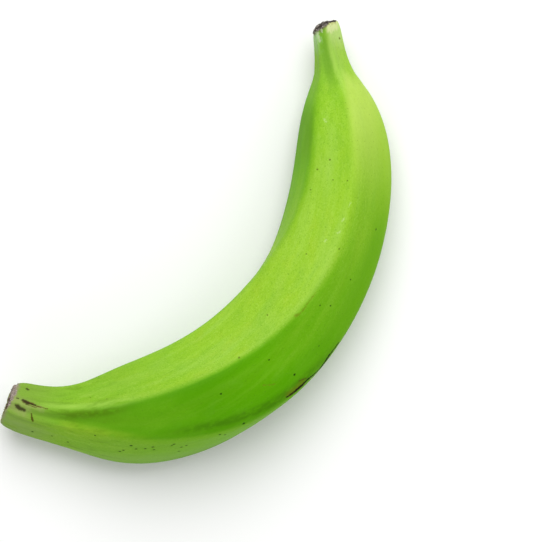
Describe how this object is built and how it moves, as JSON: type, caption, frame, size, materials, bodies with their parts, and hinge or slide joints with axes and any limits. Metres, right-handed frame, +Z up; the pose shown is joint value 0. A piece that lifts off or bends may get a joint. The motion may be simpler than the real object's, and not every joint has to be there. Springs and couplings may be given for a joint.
{
  "type": "plantain",
  "caption": "Unripe green cooking plantain, picked and lying on its side: a bent, ridged fruit with a straight bottle neck and a blunt cut stalk.",
  "frame": {"origin": "middle of the bounding box in X and Y, on the surface that the fruit lies on", "axes": "+Z up; +X along the fruit's longest extent, from the cut stalk to the flower's scar; the outside of the bend faces -Y"},
  "size_m": [0.2274, 0.0972, 0.0471],
  "materials": {
    "peel": "smooth waxy unripe green peel, semi-matt, with small brown scars and a dry dark cut at each end"
  },
  "bodies": {
    "root": {"plantain": "peel"}
  },
  "joints": []
}
